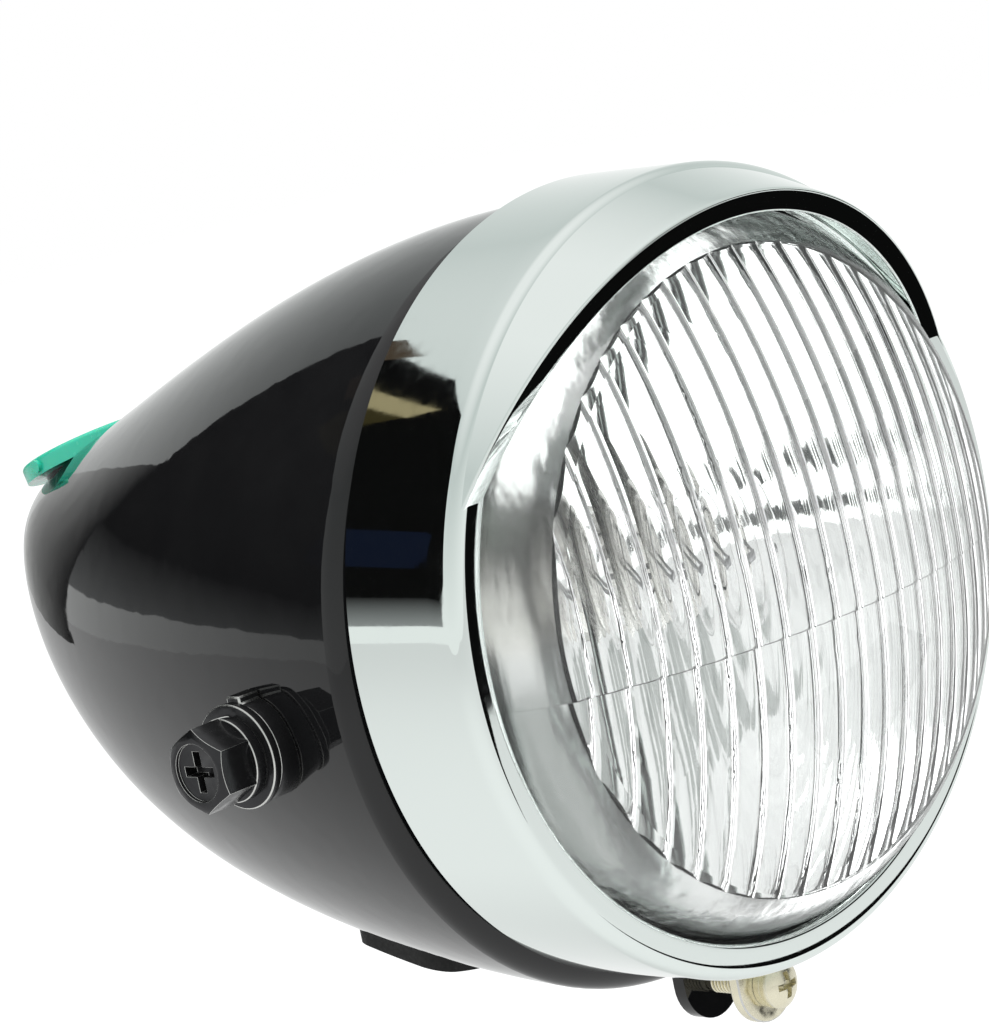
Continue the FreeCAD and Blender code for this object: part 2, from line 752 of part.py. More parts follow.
def contact_springs():
    """Sprung plungers from the blades to the bulb's end."""
    start = socket_rear + cap_wall + blade_thick
    plungers = []
    for side in (-1, 1):
        foot = FreeCAD.Vector(side * contact_spread, ahead(start), beam_z)
        plungers.append(cylinder(contact_radius, foot, along_beam, base_end - start))
    return Part.makeCompound(plungers)


def socket_terminals():
    """Blades through the cap's floor, each with a foot that carries a plunger."""
    blades = []
    for side in (-1, 1):
        middle = socket_rear + cap_wall - (cap_wall + blade_length) / 2
        centre = FreeCAD.Vector(side * contact_spread, ahead(middle), beam_z)
        blade = centred_box(centre, blade_thick, cap_wall + blade_length, blade_width)
        foot = FreeCAD.Vector(side * contact_spread, ahead(socket_rear + cap_wall + blade_thick / 2), beam_z)
        blade = blade.fuse(centred_box(foot, 2 * contact_radius, blade_thick, blade_width))
        blades.append(blade.removeSplitter())
    return Part.makeCompound(blades)


pieces = {
    "headlight_shell": shell(),
    "wire_grommet": wire_grommet(),
    "cable_slot_edging": cable_slot_edging(),
    "aperture_cap": aperture_cap(),
    "chrome_rim": chrome_rim(),
    "rim_lug": rim_lug(),
    "clamp_screw": clamp_screw(),
    "clamp_spring_washer": clamp_spring_washer(),
    "lens": lens(),
    "lens_gasket": lens_gasket(),
    "lens_seal": lens_seal(),
    "reflector": reflector(),
    "reflector_clips": reflector_clips(),
    "bulb_holder": bulb_holder(),
    "bulb_base": bulb_base(),
    "bulb_glass": bulb_glass(),
    "bulb_filament": bulb_filament(),
    "socket_cap": socket_cap(),
    "contact_springs": contact_springs(),
    "socket_terminals": socket_terminals(),
}
# Left and right as seen from the front
for name, side in (("left", -1), ("right", 1)):
    pieces[name + "_pivot_collar"] = pivot_collar(side)
    pieces[name + "_plain_washer"] = plain_washer(side)
    pieces[name + "_spring_washer"] = spring_washer(side)
    pieces[name + "_pivot_bolt"] = pivot_bolt(side)
    pieces[name + "_pivot_nut"] = pivot_nut(side)

for name, piece in pieces.items():
    piece.exportStep("parts/" + name + ".step")
    print(name, len(piece.Solids), piece.isValid(), round(piece.Volume, 1))
print("span over the collars", round(2 * (side_x + collar_height), 3))
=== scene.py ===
import math
import bmesh
import bpy
from mathutils import Matrix, Vector


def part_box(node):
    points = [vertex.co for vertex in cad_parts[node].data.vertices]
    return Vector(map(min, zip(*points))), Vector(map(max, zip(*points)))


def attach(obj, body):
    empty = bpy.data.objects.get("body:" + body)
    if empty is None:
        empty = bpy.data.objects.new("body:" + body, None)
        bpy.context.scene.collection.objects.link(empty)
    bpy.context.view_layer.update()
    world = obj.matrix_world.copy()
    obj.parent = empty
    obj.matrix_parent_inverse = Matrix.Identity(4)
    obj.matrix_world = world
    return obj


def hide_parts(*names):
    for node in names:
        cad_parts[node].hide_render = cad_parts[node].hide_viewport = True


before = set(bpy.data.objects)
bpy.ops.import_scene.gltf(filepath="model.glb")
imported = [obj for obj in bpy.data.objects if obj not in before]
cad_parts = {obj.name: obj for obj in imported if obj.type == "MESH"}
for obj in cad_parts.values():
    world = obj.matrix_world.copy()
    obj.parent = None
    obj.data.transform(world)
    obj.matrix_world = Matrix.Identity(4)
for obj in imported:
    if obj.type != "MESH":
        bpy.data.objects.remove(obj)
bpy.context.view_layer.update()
scene = bpy.context.scene
scene.view_settings.view_transform = "Standard"
mm = 0.001
lamp = {"rimRear": -26.0, "beamHeight": 11.0}   # the rim's rear edge and the beam's axis, mm
print("frame loaded:", len(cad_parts), "nodes")


# camera: turn about the lamp, lift, lean, distance and focal length in pixels
view = {"turn": -44.551, "lift": 9.219, "lean": -11.253, "distance": 650.0, "focal": 3996.823,
        "across": 22.99, "up": -9.675, "height": 1024, "sensor": 36, "clipStart": 0.01}


def buildCamera():
    turn, lift, lean = (math.radians(view[key]) for key in ("turn", "lift", "lean"))
    back = Vector((math.sin(turn) * math.cos(lift), -math.cos(turn) * math.cos(lift), math.sin(lift)))
    level = Vector((0, 0, 1)).cross(back).normalized()
    upright = back.cross(level)
    right = level * math.cos(lean) + upright * math.sin(lean)
    up = upright * math.cos(lean) - level * math.sin(lean)
    target = Vector((0, lamp["rimRear"], lamp["beamHeight"]))
    spot = target - right * view["across"] - up * view["up"] + back * view["distance"]
    data = bpy.data.cameras.new("viewCamera")
    data.sensor_width = view["sensor"]
    data.lens = view["focal"] / view["height"] * data.sensor_width
    data.clip_start = view["clipStart"]
    camera = bpy.data.objects.new("viewCamera", data)
    axes = Matrix((right, up, back)).transposed().to_4x4()
    camera.matrix_world = Matrix.Translation(spot * mm) @ axes
    scene.collection.objects.link(camera)
    scene.camera = camera


buildCamera()
print("camera set")


# studio: white surround, a floor below, screens that only reflections see and screens that only the glass sees
room = {"low": (0.95, 0.97, 0.96), "middle": (0.66, 0.7, 0.69), "high": (1, 1, 1), "middleAt": 0.6, "highAt": 0.95,
        "roomLight": 0.85, "glassLight": 0.92}
floor = {"drop": 230, "size": 6000, "paper": (0.93, 0.94, 0.935), "paperGlow": 0.78, "mirrorGlow": 0.5,
         "glassGlow": 1.95, "shade": 0.4}
softbox = {"spot": (-200, -300, 900), "aim": (0, 0, 0), "size": 700, "power": 9.0}
darkColor = (0.004, 0.004, 0.004)
darkScreens = {
    "darkBackScreen": [(-760, 600, 110), (40, 600, 110), (40, 600, 660), (-760, 600, 660)],
    "darkFrontScreen": [(270, -580, -215), (480, -370, -5), (480, -370, 140), (270, -580, 140)],
    "darkSideScreen": [(480, -370, -5), (700, -150, -5), (700, -150, 140), (480, -370, 140)],
    "darkTableScreen": [(190, -385, -205), (540, -385, -205), (540, -205, -205), (190, -205, -205)],
}
fadingScreens = {
    "greyLow": ((0.02, 0.02, 0.02), ("X", (0.8, 0.81, 0.8)),
                [(40, 600, -60), (260, 600, -60), (230, 600, 90), (40, 600, 200)]),
    "greyStep": ((0.3, 0.31, 0.31), ("Z", (0.02, 0.02, 0.02)),
                 [(-760, 600, 20), (40, 600, 20), (40, 600, 110), (-760, 600, 110)]),
}
colorPatches = {
    "brownPatch": ((0.04, 0.032, 0.013), [(-372, 590, 440), (-190, 590, 452), (-200, 590, 590), (-350, 590, 580)]),
    "beigePatch": ((0.36, 0.3, 0.17), [(-352, 588, 574), (-204, 588, 584), (-212, 588, 606), (-340, 588, 600)]),
    "rustPatch": ((0.07, 0.05, 0.035), [(-160, 590, 520), (-90, 590, 540), (-80, 590, 660), (-150, 590, 660)]),
    "bluePatch": ((0.006, 0.009, 0.02), [(-650, 590, 200), (-440, 590, 210), (-450, 590, 300), (-640, 590, 310)]),
}
lensScreens = {
    "greyRowScreen": ((0.12, 0.125, 0.125),
                      [(-750, -900, -180), (240, -900, -180), (240, -900, -118), (-750, -900, -118)]),
    "darkLeftScreen": ((0.06, 0.065, 0.065),
                       [(-330, -640, -205), (-110, -640, -205), (-110, -420, -205), (-330, -420, -205)]),
    "greySideScreen": ((0.42, 0.44, 0.43),
                       [(187, -880, 130), (709, -554, 130), (709, -554, 620), (187, -880, 620)]),
}


def buildWorld():
    world = bpy.data.worlds.new("studioRoom")
    scene.world = world
    world.use_nodes = True
    nodes, links = world.node_tree.nodes, world.node_tree.links
    nodes.clear()
    output = nodes.new("ShaderNodeOutputWorld")
    surround = nodes.new("ShaderNodeBackground")
    coords = nodes.new("ShaderNodeTexCoord")
    split = nodes.new("ShaderNodeSeparateXYZ")
    ramp = nodes.new("ShaderNodeValToRGB")
    links.new(coords.outputs["Generated"], split.inputs[0])
    links.new(split.outputs["Z"], ramp.inputs[0])
    low, high = ramp.color_ramp.elements
    low.position = 0.0
    low.color = (*room["low"], 1)
    high.position = room["highAt"]
    high.color = (*room["high"], 1)
    middle = ramp.color_ramp.elements.new(room["middleAt"])
    middle.color = (*room["middle"], 1)
    path = nodes.new("ShaderNodeLightPath")
    pick = nodes.new("ShaderNodeMix")
    pick.data_type = "RGBA"
    pick.inputs["B"].default_value = (1, 1, 1, 1)
    clear = nodes.new("ShaderNodeMath")
    clear.operation = "MAXIMUM"
    links.new(path.outputs["Is Camera Ray"], clear.inputs[0])
    links.new(path.outputs["Is Transmission Ray"], clear.inputs[1])
    links.new(clear.outputs[0], pick.inputs["Factor"])
    links.new(ramp.outputs["Color"], pick.inputs["A"])
    links.new(pick.outputs["Result"], surround.inputs["Color"])
    level = nodes.new("ShaderNodeMix")
    level.inputs["A"].default_value = 1.0
    level.inputs["B"].default_value = room["roomLight"]
    links.new(path.outputs["Is Diffuse Ray"], level.inputs["Factor"])
    through = nodes.new("ShaderNodeMix")
    through.inputs["B"].default_value = room["glassLight"]
    links.new(path.outputs["Is Transmission Ray"], through.inputs["Factor"])
    links.new(level.outputs["Result"], through.inputs["A"])
    links.new(through.outputs["Result"], surround.inputs["Strength"])
    links.new(surround.outputs[0], output.inputs["Surface"])


def stagePlane(name, corners, material):
    mesh = bpy.data.meshes.new(name)
    mesh.from_pydata([tuple(value * mm for value in corner) for corner in corners], [], [(0, 1, 2, 3)])
    mesh.materials.append(material)
    plane = bpy.data.objects.new(name, mesh)
    scene.collection.objects.link(plane)
    return plane


def floorMaterial():
    # seen and mirrored as white paper that still takes a shadow, and plain paper to the rest of the light
    material = bpy.data.materials.new("floorPaper")
    material.use_nodes = True
    nodes, links = material.node_tree.nodes, material.node_tree.links
    nodes.clear()
    output = nodes.new("ShaderNodeOutputMaterial")
    paper = nodes.new("ShaderNodeBsdfDiffuse")
    paper.inputs["Color"].default_value = (*floor["paper"], 1)
    path = nodes.new("ShaderNodeLightPath")
    level = nodes.new("ShaderNodeMix")
    level.inputs["A"].default_value = floor["mirrorGlow"]
    level.inputs["B"].default_value = floor["paperGlow"]
    links.new(path.outputs["Is Camera Ray"], level.inputs["Factor"])
    through = nodes.new("ShaderNodeMix")
    through.inputs["B"].default_value = floor["glassGlow"] - floor["shade"]
    links.new(path.outputs["Is Transmission Ray"], through.inputs["Factor"])
    links.new(level.outputs["Result"], through.inputs["A"])
    glow = nodes.new("ShaderNodeEmission")
    links.new(through.outputs["Result"], glow.inputs["Strength"])
    shade = nodes.new("ShaderNodeBsdfDiffuse")
    shade.inputs["Color"].default_value = (floor["shade"], floor["shade"], floor["shade"], 1)
    white = nodes.new("ShaderNodeAddShader")
    links.new(glow.outputs[0], white.inputs[0])
    links.new(shade.outputs[0], white.inputs[1])
    seen = nodes.new("ShaderNodeMath")
    seen.operation = "MAXIMUM"
    links.new(path.outputs["Is Glossy Ray"], seen.inputs[0])
    links.new(path.outputs["Is Transmission Ray"], seen.inputs[1])
    either = nodes.new("ShaderNodeMath")
    either.operation = "MAXIMUM"
    links.new(path.outputs["Is Camera Ray"], either.inputs[0])
    links.new(seen.outputs[0], either.inputs[1])
    blend = nodes.new("ShaderNodeMixShader")
    links.new(either.outputs[0], blend.inputs[0])
    links.new(paper.outputs[0], blend.inputs[1])
    links.new(white.outputs[0], blend.inputs[2])
    links.new(blend.outputs[0], output.inputs["Surface"])
    return material


def screenMaterial(name, color, fade):
    # fade: an axis of the screen and the colour at its far end
    material = bpy.data.materials.new(name)
    material.use_nodes = True
    nodes, links = material.node_tree.nodes, material.node_tree.links
    nodes.clear()
    output = nodes.new("ShaderNodeOutputMaterial")
    glow = nodes.new("ShaderNodeEmission")
    glow.inputs["Color"].default_value = (*color, 1)
    links.new(glow.outputs[0], output.inputs["Surface"])
    if fade:
        axis, far = fade
        coords = nodes.new("ShaderNodeTexCoord")
        split = nodes.new("ShaderNodeSeparateXYZ")
        links.new(coords.outputs["Generated"], split.inputs[0])
        blend = nodes.new("ShaderNodeMix")
        blend.data_type = "RGBA"
        blend.inputs["A"].default_value = (*color, 1)
        blend.inputs["B"].default_value = (*far, 1)
        links.new(split.outputs[axis], blend.inputs["Factor"])
        links.new(blend.outputs["Result"], glow.inputs["Color"])
    return material


def reflectionScreen(name, corners, color, fade=None):
    screen = stagePlane(name, corners, screenMaterial(name, color, fade))
    screen.visible_camera = False
    screen.visible_diffuse = False
    screen.visible_shadow = False
    screen.visible_transmission = False
    return screen


def lensScreen(name, corners, color):
    screen = reflectionScreen(name, corners, color)
    screen.visible_glossy = False
    screen.visible_transmission = True


def buildSoftbox():
    data = bpy.data.lights.new("ceilingSoftbox", "AREA")
    data.size = softbox["size"] * mm
    data.energy = softbox["power"]
    light = bpy.data.objects.new("ceilingSoftbox", data)
    spot = Vector(softbox["spot"])
    turn = (Vector(softbox["aim"]) - spot).to_track_quat("-Z", "Y")
    light.matrix_world = Matrix.Translation(spot * mm) @ turn.to_matrix().to_4x4()
    light.visible_glossy = False
    scene.collection.objects.link(light)


def buildStudio():
    buildWorld()
    half, low = floor["size"] / 2, -floor["drop"]
    corners = [(-half, -half, low), (half, -half, low), (half, half, low), (-half, half, low)]
    stagePlane("studioFloor", corners, floorMaterial())
    for name, corners in darkScreens.items():
        reflectionScreen(name, corners, darkColor)
    for name, (color, fade, corners) in fadingScreens.items():
        reflectionScreen(name, corners, color, fade)
    for name, (color, corners) in colorPatches.items():
        reflectionScreen(name, corners, color)
    for name, (color, corners) in lensScreens.items():
        lensScreen(name, corners, color)
    buildSoftbox()


buildStudio()
print("studio built")


# materials
def newMaterial(name):
    material = bpy.data.materials.new(name)
    material.use_nodes = True
    nodes = material.node_tree.nodes
    return material, nodes, material.node_tree.links, nodes["Principled BSDF"]


def newGroup(name, inputs, outputs):
    group = bpy.data.node_groups.new(name, "ShaderNodeTree")
    for label, value in inputs.items():
        socket = group.interface.new_socket(label, in_out="INPUT", socket_type="NodeSocketFloat")
        socket.default_value = value
    for label in outputs:
        group.interface.new_socket(label, in_out="OUTPUT", socket_type="NodeSocketFloat")
    return group, group.nodes.new("NodeGroupInput"), group.nodes.new("NodeGroupOutput")


def buildGrainGroup():
    # fine mottling: a roughness between two values, and a height for bumps
    inputs = {"Scale": 900.0, "Smooth": 0.1, "Rough": 0.2}
    group, entry, leave = newGroup("fineGrain", inputs, ("Roughness", "Height"))
    nodes, links = group.nodes, group.links
    coords = nodes.new("ShaderNodeTexCoord")
    fine = nodes.new("ShaderNodeTexNoise")
    fine.inputs["Detail"].default_value = 6.0
    links.new(coords.outputs["Object"], fine.inputs["Vector"])
    links.new(entry.outputs["Scale"], fine.inputs["Scale"])
    span = nodes.new("ShaderNodeMapRange")
    span.inputs["From Min"].default_value = 0.3
    span.inputs["From Max"].default_value = 0.7
    links.new(fine.outputs["Fac"], span.inputs["Value"])
    links.new(entry.outputs["Smooth"], span.inputs["To Min"])
    links.new(entry.outputs["Rough"], span.inputs["To Max"])
    links.new(span.outputs["Result"], leave.inputs["Roughness"])
    links.new(fine.outputs["Fac"], leave.inputs["Height"])
    return group


def buildDustAndShadeGroup():
    # dust that settles where the surface faces up, broken by cloudy noise; where a coat's second colour is near
    # black (springSteel, nickelPlate) the same mask paints shade over the upward faces
    group, entry, leave = newGroup("settledDustAndShade", {"Amount": 0.1, "Scale": 40.0}, ("Mask",))
    nodes, links = group.nodes, group.links
    coords = nodes.new("ShaderNodeTexCoord")
    cloud = nodes.new("ShaderNodeTexNoise")
    cloud.inputs["Detail"].default_value = 8.0
    cloud.inputs["Roughness"].default_value = 0.7
    links.new(coords.outputs["Object"], cloud.inputs["Vector"])
    links.new(entry.outputs["Scale"], cloud.inputs["Scale"])
    shape = nodes.new("ShaderNodeNewGeometry")
    split = nodes.new("ShaderNodeSeparateXYZ")
    links.new(shape.outputs["Normal"], split.inputs[0])
    upward = nodes.new("ShaderNodeMapRange")
    upward.inputs["From Min"].default_value = -0.2
    upward.inputs["From Max"].default_value = 1.0
    links.new(split.outputs["Z"], upward.inputs["Value"])
    patch = nodes.new("ShaderNodeMapRange")
    patch.inputs["From Min"].default_value = 0.35
    patch.inputs["From Max"].default_value = 0.75
    links.new(cloud.outputs["Fac"], patch.inputs["Value"])
    both = nodes.new("ShaderNodeMath")
    both.operation = "MULTIPLY"
    links.new(upward.outputs["Result"], both.inputs[0])
    links.new(patch.outputs["Result"], both.inputs[1])
    weigh = nodes.new("ShaderNodeMath")
    weigh.operation = "MULTIPLY"
    links.new(both.outputs[0], weigh.inputs[0])
    links.new(entry.outputs["Amount"], weigh.inputs[1])
    links.new(weigh.outputs[0], leave.inputs["Mask"])
    return group


# the lens's plain border: where it starts and ends (m from the beam), its roughness, and its streaks
border = {"Start": 0.0502, "End": 0.0525, "Rough": 0.18}
streak = {"scale": 260.0, "upright": 0.08, "depth": 0.2}


def buildBorderGroup():
    # rougher glass with upright streaks outside a radius about the beam
    group, entry, leave = newGroup("borderStreaks", border, ("Roughness", "Height"))
    nodes, links = group.nodes, group.links
    coords = nodes.new("ShaderNodeTexCoord")
    shift = nodes.new("ShaderNodeVectorMath")
    shift.operation = "SUBTRACT"
    shift.inputs[1].default_value = (0, 0, lamp["beamHeight"] * mm)
    links.new(coords.outputs["Object"], shift.inputs[0])
    flat = nodes.new("ShaderNodeVectorMath")
    flat.operation = "MULTIPLY"
    flat.inputs[1].default_value = (1, 0, 1)
    links.new(shift.outputs[0], flat.inputs[0])
    reach = nodes.new("ShaderNodeVectorMath")
    reach.operation = "LENGTH"
    links.new(flat.outputs[0], reach.inputs[0])
    zone = nodes.new("ShaderNodeMapRange")
    links.new(reach.outputs["Value"], zone.inputs["Value"])
    links.new(entry.outputs["Start"], zone.inputs["From Min"])
    links.new(entry.outputs["End"], zone.inputs["From Max"])
    rough = nodes.new("ShaderNodeMath")
    rough.operation = "MULTIPLY"
    links.new(zone.outputs["Result"], rough.inputs[0])
    links.new(entry.outputs["Rough"], rough.inputs[1])
    links.new(rough.outputs[0], leave.inputs["Roughness"])
    stretch = nodes.new("ShaderNodeVectorMath")
    stretch.operation = "MULTIPLY"
    stretch.inputs[1].default_value = (1, 1, streak["upright"])
    links.new(coords.outputs["Object"], stretch.inputs[0])
    lines = nodes.new("ShaderNodeTexNoise")
    lines.inputs["Scale"].default_value = streak["scale"]
    links.new(stretch.outputs[0], lines.inputs["Vector"])
    height = nodes.new("ShaderNodeMath")
    height.operation = "MULTIPLY"
    links.new(lines.outputs["Fac"], height.inputs[0])
    links.new(zone.outputs["Result"], height.inputs[1])
    links.new(height.outputs[0], leave.inputs["Height"])
    return group


grainGroup = buildGrainGroup()
dustAndShadeGroup = buildDustAndShadeGroup()
borderGroup = buildBorderGroup()


def addBump(nodes, links, shader, height, distance, strength=1.0):
    relief = nodes.new("ShaderNodeBump")
    relief.inputs["Strength"].default_value = strength
    relief.inputs["Distance"].default_value = distance * mm
    links.new(height, relief.inputs["Height"])
    links.new(relief.outputs["Normal"], shader.inputs["Normal"])


def addGrain(nodes, links, shader, scale, smooth, rough, bump, bumpDistance):
    grain = nodes.new("ShaderNodeGroup")
    grain.node_tree = grainGroup
    grain.inputs["Scale"].default_value = scale
    grain.inputs["Smooth"].default_value = smooth
    grain.inputs["Rough"].default_value = rough
    links.new(grain.outputs["Roughness"], shader.inputs["Roughness"])
    addBump(nodes, links, shader, grain.outputs["Height"], bumpDistance, bump)


def addDustAndShade(nodes, links, shader, clean, dusty, amount, scale):
    # mixes in the second colour through the upward-facing mask: real dust in most coats, painted shade in
    # springSteel and nickelPlate
    dust = nodes.new("ShaderNodeGroup")
    dust.node_tree = dustAndShadeGroup
    dust.inputs["Amount"].default_value = amount
    dust.inputs["Scale"].default_value = scale
    blend = nodes.new("ShaderNodeMix")
    blend.data_type = "RGBA"
    blend.inputs["A"].default_value = (*clean, 1)
    blend.inputs["B"].default_value = (*dusty, 1)
    links.new(dust.outputs["Mask"], blend.inputs["Factor"])
    links.new(blend.outputs["Result"], shader.inputs["Base Color"])


def coatFinish(name, clean, dusty, dust, metallic, grain, sockets=None):
    # dust, and in springSteel and nickelPlate painted shade: its amount and scale; grain: its scale, smoothest and
    # roughest value, bump strength and depth in mm
    material, nodes, links, shader = newMaterial(name)
    shader.inputs["Metallic"].default_value = metallic
    addDustAndShade(nodes, links, shader, clean, dusty, *dust)
    addGrain(nodes, links, shader, *grain)
    for label, value in (sockets or {}).items():
        shader.inputs[label].default_value = value
    return material


def clearGlass(name, tint):
    material, nodes, links, shader = newMaterial(name)
    shader.inputs["Base Color"].default_value = (*tint, 1)
    shader.inputs["Transmission Weight"].default_value = 1.0
    shader.inputs["IOR"].default_value = glass["index"]
    return material, nodes, links, shader


def lensFinish(name):
    material, nodes, links, shader = clearGlass(name, glass["lensTint"])
    streaks = nodes.new("ShaderNodeGroup")
    streaks.node_tree = borderGroup
    for label, value in border.items():
        streaks.inputs[label].default_value = value
    links.new(streaks.outputs["Roughness"], shader.inputs["Roughness"])
    addBump(nodes, links, shader, streaks.outputs["Height"], streak["depth"])
    return material


def bulbFinish(name):
    material, nodes, links, shader = clearGlass(name, glass["bulbTint"])
    addGrain(nodes, links, shader, *glass["bulbGrain"])
    return material


glass = {"index": 1.52, "lensTint": (0.975, 0.99, 0.985), "bulbTint": (0.99, 0.99, 0.99),
         "bulbGrain": (60.0, 0.0, 0.02, 0.02, 0.4)}
coats = {
    "blackPaint": {"clean": (0.006, 0.006, 0.0065), "dusty": (0.05, 0.05, 0.05), "dust": (0.12, 60.0),
                   "metallic": 0.0, "grain": (350.0, 0.025, 0.05, 0.015, 0.2),
                   "sockets": {"Specular IOR Level": 0.42}},
    "chromePlate": {"clean": (0.76, 0.815, 0.79), "dusty": (0.65, 0.67, 0.65), "dust": (0.06, 50.0),
                    "metallic": 1.0, "grain": (500.0, 0.015, 0.05, 0.01, 0.1)},
    "zincPlate": {"clean": (0.78, 0.74, 0.58), "dusty": (0.5, 0.46, 0.36), "dust": (0.5, 300.0),
                  "metallic": 1.0, "grain": (900.0, 0.16, 0.38, 0.12, 0.1)},
    "blackZinc": {"clean": (0.035, 0.035, 0.037), "dusty": (0.12, 0.12, 0.12), "dust": (0.2, 120.0),
                  "metallic": 0.85, "grain": (800.0, 0.12, 0.3, 0.06, 0.1)},
    "wornSteel": {"clean": (0.62, 0.62, 0.6), "dusty": (0.3, 0.3, 0.3), "dust": (0.4, 400.0),
                  "metallic": 1.0, "grain": (1200.0, 0.15, 0.4, 0.1, 0.1)},
    "blackRubber": {"clean": (0.012, 0.012, 0.012), "dusty": (0.06, 0.06, 0.058), "dust": (0.3, 90.0),
                    "metallic": 0.0, "grain": (1500.0, 0.45, 0.7, 0.15, 0.15),
                    "sockets": {"Specular IOR Level": 0.25}},
    "greenPlastic": {"clean": (0.025, 0.5, 0.34), "dusty": (0.3, 0.55, 0.45), "dust": (0.15, 80.0),
                     "metallic": 0.0, "grain": (500.0, 0.16, 0.3, 0.05, 0.1),
                     "sockets": {"Subsurface Weight": 0.35, "Subsurface Scale": 0.004, "Coat Weight": 0.4}},
    "mirrorCoat": {"clean": (0.93, 0.935, 0.93), "dusty": (0.85, 0.85, 0.84), "dust": (0.1, 30.0),
                   "metallic": 1.0, "grain": (200.0, 0.02, 0.07, 0.02, 0.1)},
    # the near-black second colour at almost full amount over the upward faces is painted shade, darkening these
    # parts where they show through the lens, not dust
    "springSteel": {"clean": (0.5, 0.5, 0.48), "dusty": (0.06, 0.06, 0.058), "dust": (0.9, 160.0),
                    "metallic": 1.0, "grain": (900.0, 0.2, 0.4, 0.1, 0.1)},
    "bulbBrass": {"clean": (0.74, 0.58, 0.28), "dusty": (0.45, 0.35, 0.2), "dust": (0.4, 200.0),
                  "metallic": 1.0, "grain": (800.0, 0.18, 0.4, 0.1, 0.1)},
    "filamentWire": {"clean": (0.35, 0.35, 0.36), "dusty": (0.2, 0.2, 0.2), "dust": (0.4, 400.0),
                     "metallic": 1.0, "grain": (1500.0, 0.3, 0.5, 0.1, 0.05)},
    "brownPlastic": {"clean": (0.09, 0.045, 0.025), "dusty": (0.2, 0.16, 0.12), "dust": (0.3, 120.0),
                     "metallic": 0.0, "grain": (900.0, 0.35, 0.55, 0.1, 0.1)},
    # the near-black second colour at full amount over the upward faces is painted shade, darkening the bulb base
    # where it shows through the lens, not dust
    "nickelPlate": {"clean": (0.5, 0.49, 0.47), "dusty": (0.06, 0.06, 0.058), "dust": (1.0, 160.0),
                    "metallic": 1.0, "grain": (800.0, 0.15, 0.35, 0.08, 0.1)},
}
paint = {name: coatFinish(name, **coat) for name, coat in coats.items()}
paint["lensGlass"] = lensFinish("lensGlass")
paint["bulbGlass"] = bulbFinish("bulbGlass")
print("materials made:", len(paint))


# mesh helpers, all in millimetres
def addPiece(name, mesh, sharpAngle=None):
    mesh.polygons.foreach_set("use_smooth", [True] * len(mesh.polygons))
    if sharpAngle:
        mesh.set_sharp_from_angle(angle=math.radians(sharpAngle))
    piece = bpy.data.objects.new(name, mesh)
    scene.collection.objects.link(piece)
    return piece


def meshPiece(name, points, faces, material, sharpAngle):
    mesh = bpy.data.meshes.new(name)
    mesh.from_pydata([tuple(value * mm for value in point) for point in points], [], faces)
    work = bmesh.new()
    work.from_mesh(mesh)
    bmesh.ops.recalc_face_normals(work, faces=work.faces)
    work.to_mesh(mesh)
    work.free()
    mesh.materials.append(material)
    return addPiece(name, mesh, sharpAngle)


def beamPoint(radius, ahead, angle):
    # ahead is counted from the rim's rear edge, the angle from straight up
    return (radius * math.sin(angle), lamp["rimRear"] - ahead, lamp["beamHeight"] + radius * math.cos(angle))


def bakedMesh(name, holder):
    mesh = bpy.data.meshes.new_from_object(holder.evaluated_get(bpy.context.evaluated_depsgraph_get()))
    bpy.data.objects.remove(holder)
    mesh.name = name
    return mesh


def standFor(piece, node):
    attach(piece, "root")
    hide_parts(node)


# chrome rim: band with a rolled lip, the peak over the glass with its turned-in hem, and the hook inside
rim = {"radius": 65.0, "wall": 0.8, "straight": 21.0, "crest": 23.75, "corner": 2.4, "inner": 59.2, "turn": 0.9,
       "rearEdge": 0.3, "insideBend": 1.6, "bandSteps": 6, "cornerSteps": 14, "faceSteps": 4, "turnSteps": 10,
       "segments": 256, "sharpAngle": 50}
peak = {"root": 20.6, "rootRadius": 64.5, "taper": 0.35065, "foot": 22.4, "footHeight": 21.24, "lean": 0.35921,
        "halfSheet": 0.35, "hem": 3.5, "corner": 0.5, "fold": 0.38, "ease": 0.3, "span": 72.5, "steps": 220,
        "sheetSteps": 8, "cornerSteps": 8, "hemSteps": 6, "foldSteps": 12, "sharpAngle": 60}
hook = {"halfWidth": 6.0, "rear": -27.0, "front": -30.0, "low": 71.9, "high": 75.4, "sharpAngle": 35}


def rimProfile():
    # outside from the rear: the band, a round corner, a flat front face and a tighter turn towards the glass
    outer, wall, front, crest = (rim[key] for key in ("radius", "wall", "straight", "crest"))
    corner, inner, turn, edge, bend = (rim[key] for key in ("corner", "inner", "turn", "rearEdge", "insideBend"))
    bandEnd, faceStart, faceEnd = crest - corner, outer - corner, inner + turn
    count = rim["bandSteps"]
    profile = [(outer - wall / 2, 0), (outer, edge)]
    profile += [(outer, bandEnd * step / count) for step in range(1, count + 1)]
    count = rim["cornerSteps"]
    for step in range(1, count + 1):
        angle = math.pi / 2 * step / count
        profile.append((faceStart + corner * math.cos(angle), bandEnd + corner * math.sin(angle)))
    count = rim["faceSteps"]
    profile += [(faceStart + (faceEnd - faceStart) * step / count, crest) for step in range(1, count + 1)]
    count = rim["turnSteps"]
    for step in range(1, count + 1):
        angle = math.pi / 2 * step / count
        profile.append((faceEnd - turn * math.sin(angle), crest - turn + turn * math.cos(angle)))
    # inside, back to the rear
    profile += [(inner, front), (inner + wall, front), (inner + wall, crest - 2 * wall)]
    profile += [(inner + 2 * wall, crest - wall), (faceStart, crest - wall), (outer - bend, crest - bend)]
    profile += [(outer - wall, bandEnd), (outer - wall, edge)]
    return profile


